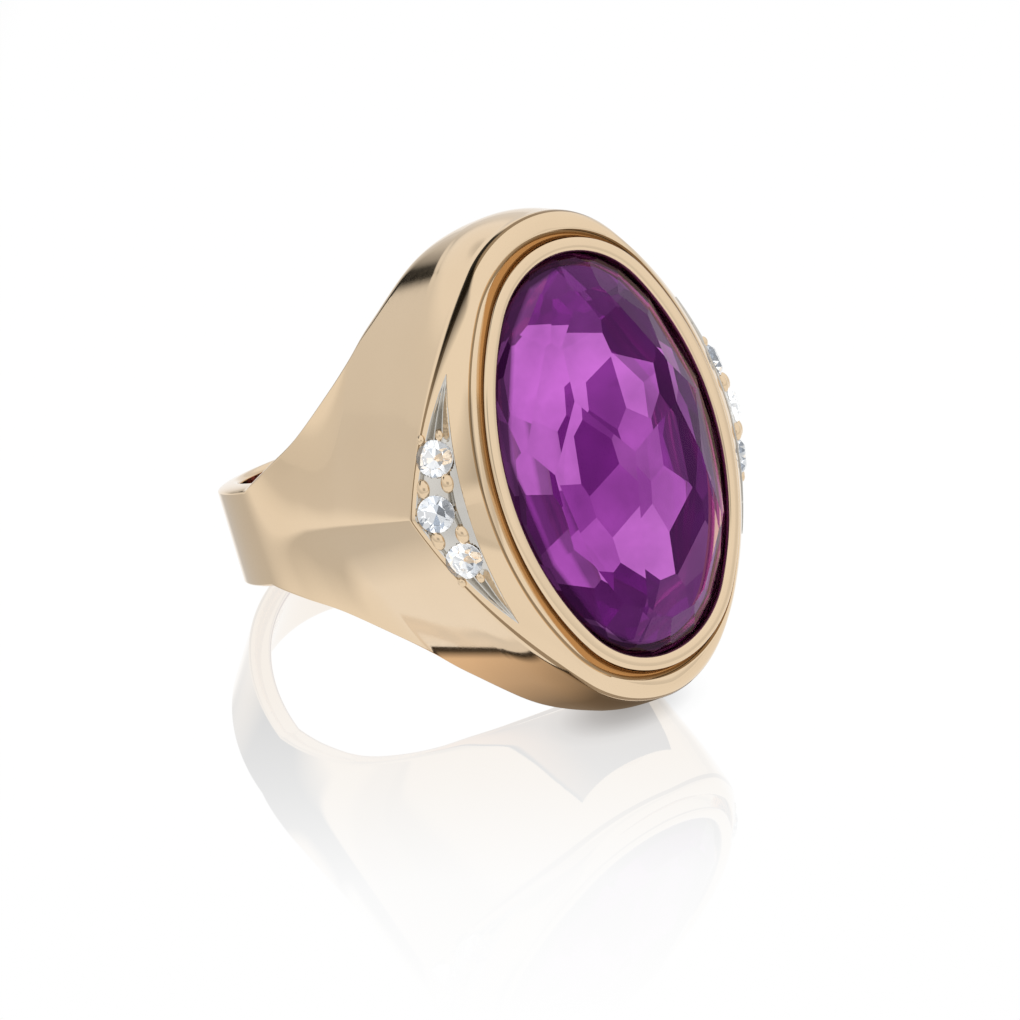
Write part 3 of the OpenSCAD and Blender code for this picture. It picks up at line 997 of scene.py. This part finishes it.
def scaled(nt, factor, colour=None, colour_from=None):
    """A fixed colour, or one from a socket, times a factor."""
    node = nt.nodes.new("ShaderNodeVectorMath")
    node.operation = "SCALE"
    if colour_from:
        nt.links.new(colour_from, node.inputs[0])
    else:
        node.inputs[0].default_value = colour
    nt.links.new(factor, node.inputs["Scale"])
    return node.outputs["Vector"]


def mixed(nt, share, a, b):
    """Shader between a and b."""
    node = nt.nodes.new("ShaderNodeMixShader")
    nt.links.new(share, node.inputs[0])
    nt.links.new(a, node.inputs[1])
    nt.links.new(b, node.inputs[2])
    return node.outputs[0]


def object_place(nt):
    """The position in the object's own space."""
    return nt.nodes.new("ShaderNodeTexCoord").outputs["Object"]


# ---------------------------------------------------------------- materials
def new_material(name):
    """Material with its node tree and principled shader."""
    m = bpy.data.materials.new(name)
    m.use_nodes = True
    nt = m.node_tree
    return m, nt, nt.nodes["Principled BSDF"]


def bare_material(name):
    """Material with its node tree and nothing in it but the surface input."""
    m = bpy.data.materials.new(name)
    m.use_nodes = True
    nt = m.node_tree
    nt.nodes.clear()
    return m, nt, nt.nodes.new("ShaderNodeOutputMaterial").inputs["Surface"]


def metal(name, colour, deep, rough):
    """Polished precious metal: faint tone drift, fine polishing marks."""
    m, nt, bsdf = new_material(name)
    bsdf.inputs["Metallic"].default_value = 1.0
    place = object_place(nt)
    tone = blend(nt, noise(nt, place, DRIFT_SCALE, 3.0), colour, deep)
    nt.links.new(tone, bsdf.inputs["Base Color"])
    marks = noise(nt, place, MARKS_SCALE, 4.0)
    roughness = span(nt, marks, 0.0, 1.0, rough * ROUGH_LEAST, rough * ROUGH_MOST)
    nt.links.new(roughness, bsdf.inputs["Roughness"])
    bump = nt.nodes.new("ShaderNodeBump")
    bump.inputs["Strength"].default_value = MARKS_STRENGTH
    bump.inputs["Distance"].default_value = MARKS_HEIGHT
    nt.links.new(marks, bump.inputs["Height"])
    nt.links.new(bump.outputs["Normal"], bsdf.inputs["Normal"])
    return m


def fill_body(nt, density, absorb):
    """Colours the light on its way through the stone."""
    if density > 0:
        body_volume = nt.nodes.new("ShaderNodeVolumeAbsorption")
        body_volume.inputs["Color"].default_value = (*absorb, 1)
        body_volume.inputs["Density"].default_value = density
        nt.links.new(body_volume.outputs["Volume"], nt.nodes["Material Output"].inputs["Volume"])


def gem(name, colour, ior, gloss, density, absorb, rim=None):
    """Clear faceted stone with a tinted body and faint veils."""
    m, nt, bsdf = new_material(name)
    bsdf.inputs["Roughness"].default_value = 0.0
    bsdf.inputs["IOR"].default_value = ior
    bsdf.inputs["Specular Tint"].default_value = (*gloss, 1)
    bsdf.inputs["Transmission Weight"].default_value = 1.0
    veil = noise(nt, object_place(nt), VEIL_SCALE, 5.0)
    tint = blend(nt, veil, colour, [c * VEIL_TINT for c in colour])
    if rim:
        # deep shade in the thin edge beside the setting
        place = nt.nodes.new("ShaderNodeNewGeometry").outputs["Position"]
        shade = profile(nt, along(nt, place, STONE_AXIS, GIRDLE_AT), rim)
        tint = scaled(nt, shade, colour_from=tint)
    nt.links.new(tint, bsdf.inputs["Base Color"])
    fill_body(nt, density, absorb)
    return m


def gem_back(name, tones, strength, density, absorb):
    """Back facets of a stone, each with its own painted bright or dark tone and a painted glow, which
    send the light back up.
    """
    m, nt, bsdf = new_material(name)
    bsdf.inputs["Metallic"].default_value = 1.0
    bsdf.inputs["Roughness"].default_value = BACK_ROUGH
    # painted glow: the back facets give off light of their own
    bsdf.inputs["Emission Strength"].default_value = strength
    facing = nt.nodes.new("ShaderNodeNewGeometry").outputs["True Normal"]
    # painted bright and dark reflections: a tone drawn for each facet
    tone = ramp(nt, noise(nt, facing, FACET_DRAW_SCALE, 0.0), tones)
    # painted shade, darker towards the girdle; the direction turns round on a facet that is hit from
    # inside
    deep = profile(nt, unsigned(nt, along(nt, facing, STONE_AXIS)), BACK_DEPTH)
    # cloudy zones inside the stone
    zones = span(nt, noise(nt, object_place(nt), VEIL_SCALE, 4.0), *ZONES_FROM, *ZONES_TO)
    colour = scaled(nt, times(nt, zones, deep), colour_from=tone)
    nt.links.new(colour, bsdf.inputs["Base Color"])
    nt.links.new(colour, bsdf.inputs["Emission Color"])
    fill_body(nt, density, absorb)
    return m


def floor_material():
    """White glossy floor: a white glow with painted shade off to one side and a painted shadow close
    under the head, and a mirror layer that fades forwards."""
    m, nt, surface = bare_material("floor_white_gloss")
    place = object_place(nt)
    # painted shade off to the viewer's left, and a painted shadow in an ellipse under the low end of
    # the head
    side = profile(nt, along(nt, place, FLOOR_LEFT), FLOOR_DIM)
    ellipse = nt.nodes.new("ShaderNodeMapping")
    ellipse.vector_type = "TEXTURE"
    ellipse.inputs["Location"].default_value = SHADE_AT
    ellipse.inputs["Scale"].default_value = SHADE_SIZE
    nt.links.new(place, ellipse.inputs["Vector"])
    reach = nt.nodes.new("ShaderNodeVectorMath")
    reach.operation = "LENGTH"
    nt.links.new(ellipse.outputs["Vector"], reach.inputs[0])
    shade = profile(nt, reach.outputs["Value"], FLOOR_SHADE)
    glow = nt.nodes.new("ShaderNodeEmission")
    nt.links.new(times(nt, side, shade), glow.inputs["Color"])
    glow.inputs["Strength"].default_value = FLOOR_GLOW
    gloss = nt.nodes.new("ShaderNodeBsdfGlossy")
    gloss.inputs["Roughness"].default_value = FLOOR_ROUGH
    gloss.inputs["Color"].default_value = (1, 1, 1, 1)
    mirror = profile(nt, along(nt, place, FLOOR_AWAY), FLOOR_MIRROR)
    nt.links.new(mixed(nt, mirror, glow.outputs[0], gloss.outputs[0]), surface)
    return m


def shadow_card_material():
    """Brown card of painted shadow, glowing: darkest along its left edge and at its front, and clear
    from below.
    """
    m, nt, surface = bare_material("shadow_card_brown")
    place = object_place(nt)
    inwards = profile(nt, along(nt, place, (1, 0, 0), (CARD_X[0], 0, 0)), CARD_INWARDS)
    back = profile(nt, along(nt, place, (0, 1, 0), (0, CARD_Y[0], 0)), CARD_BACK)
    glow = nt.nodes.new("ShaderNodeEmission")
    nt.links.new(scaled(nt, times(nt, inwards, back), colour=CARD_SHADOW_COLOUR), glow.inputs["Color"])
    clear = nt.nodes.new("ShaderNodeBsdfTransparent")
    below = nt.nodes.new("ShaderNodeNewGeometry").outputs["Backfacing"]
    nt.links.new(mixed(nt, below, glow.outputs[0], clear.outputs[0]), surface)
    return m


yellow_gold = metal("yellow_gold_polished", *YELLOW_GOLD)
white_gold = metal("white_gold_bright_cut", *WHITE_GOLD)
painted_dark_gold = metal("yellow_gold_painted_dark_line", *PAINTED_DARK_LINE_GOLD)
amethyst_mat = [gem("amethyst_clear", *AMETHYST_CLEAR, *AMETHYST_BODY, DARK_RIM),
                gem_back("amethyst_back_painted_light", AMETHYST_PAINTED_FACET_TONES, AMETHYST_PAINTED_GLOW, *AMETHYST_BODY)]
diamond_mat = [gem("diamond_clear", *DIAMOND_CLEAR, *DIAMOND_BODY),
               gem_back("diamond_back_painted_light", DIAMOND_PAINTED_FACET_TONES, DIAMOND_PAINTED_GLOW, *DIAMOND_BODY)]

# ---------------------------------------------------------------- pieces
body = build_body([yellow_gold, painted_dark_gold])
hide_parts("ring_body")
bezel = build_bezel([yellow_gold, painted_dark_gold])
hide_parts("bezel")
seat = build_seat(yellow_gold)
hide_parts("stone_seat")
stone = build_amethyst(amethyst_mat)
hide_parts("amethyst")
for side_name, s in (("left", -1), ("right", 1)):
    plate = build_crescent(f"crescent_{side_name}_plate", s, white_gold)
    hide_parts(f"crescent_{side_name}")
    beads = build_beads(f"beads_{side_name}_grains", s, yellow_gold)
    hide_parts(f"beads_{side_name}")
    for place, i in (("north", 1), ("middle", 0), ("south", -1)):
        d = build_diamond(f"diamond_{side_name}_{place}_cut", s, i, diamond_mat)
        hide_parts(f"diamond_{side_name}_{place}")

# ---------------------------------------------------------------- floor
FLOOR_Z = cad_low[2]


def flat_sheet(name, x, y, z, material):
    """Level rectangle over the ranges x and y."""
    mesh = bpy.data.meshes.new(name)
    corners = [(x[0], y[0], z), (x[1], y[0], z), (x[1], y[1], z), (x[0], y[1], z)]
    mesh.from_pydata(corners, [], [(0, 1, 2, 3)])
    obj = bpy.data.objects.new(name, mesh)
    bpy.context.scene.collection.objects.link(obj)
    obj.data.materials.append(material)
    return obj


floor_range = (-FLOOR_HALF, FLOOR_HALF)
floor = flat_sheet("floor", floor_range, floor_range, FLOOR_Z, floor_material())
# painted shadow under the head: out of the camera's sight, it is only seen mirrored in the gold
card = flat_sheet("card", CARD_X, CARD_Y, FLOOR_Z + CARD_UP, shadow_card_material())
card.visible_camera = False

# ---------------------------------------------------------------- studio surroundings
world = bpy.data.worlds.new("studio")
bpy.context.scene.world = world
world.use_nodes = True
wn = world.node_tree
wn.nodes.clear()
w_out = wn.nodes.new("ShaderNodeOutputWorld")
w_bg = wn.nodes.new("ShaderNodeBackground")
w_co = wn.nodes.new("ShaderNodeTexCoord")
w_sep = wn.nodes.new("ShaderNodeSeparateXYZ")
wn.links.new(w_co.outputs["Generated"], w_sep.inputs[0])
turn = wn.nodes.new("ShaderNodeMath")
turn.operation = "ARCTAN2"
wn.links.new(w_sep.outputs["Y"], turn.inputs[0])
wn.links.new(w_sep.outputs["X"], turn.inputs[1])
degrees = wn.nodes.new("ShaderNodeMath")
degrees.operation = "DEGREES"
wn.links.new(turn.outputs[0], degrees.inputs[0])
level = profile(wn, w_sep.outputs["Z"], SKY)
for round_stops, height_stops in SCREENS:
    dark = times(wn, profile(wn, degrees.outputs[0], round_stops),
                 profile(wn, w_sep.outputs["Z"], height_stops))
    level = times(wn, level, one_minus(wn, dark))
wn.links.new(level, w_bg.inputs["Color"])
wn.links.new(w_bg.outputs[0], w_out.inputs["Surface"])

# ---------------------------------------------------------------- camera
cam_data = bpy.data.cameras.new("camera")
cam_data.lens = CAM_LENS
cam_data.sensor_width = CAM_SENSOR
cam_data.clip_start = CAM_CLIP[0]
cam_data.clip_end = CAM_CLIP[1]
cam = bpy.data.objects.new("camera", cam_data)
bpy.context.scene.collection.objects.link(cam)
cam.matrix_world = Matrix((
    (CAM_RIGHT.x, CAM_UP.x, -CAM_FORWARD.x, CAM_AT.x),
    (CAM_RIGHT.y, CAM_UP.y, -CAM_FORWARD.y, CAM_AT.y),
    (CAM_RIGHT.z, CAM_UP.z, -CAM_FORWARD.z, CAM_AT.z),
    (0, 0, 0, 1)))
bpy.context.scene.camera = cam
bpy.context.scene.view_settings.view_transform = "Standard"
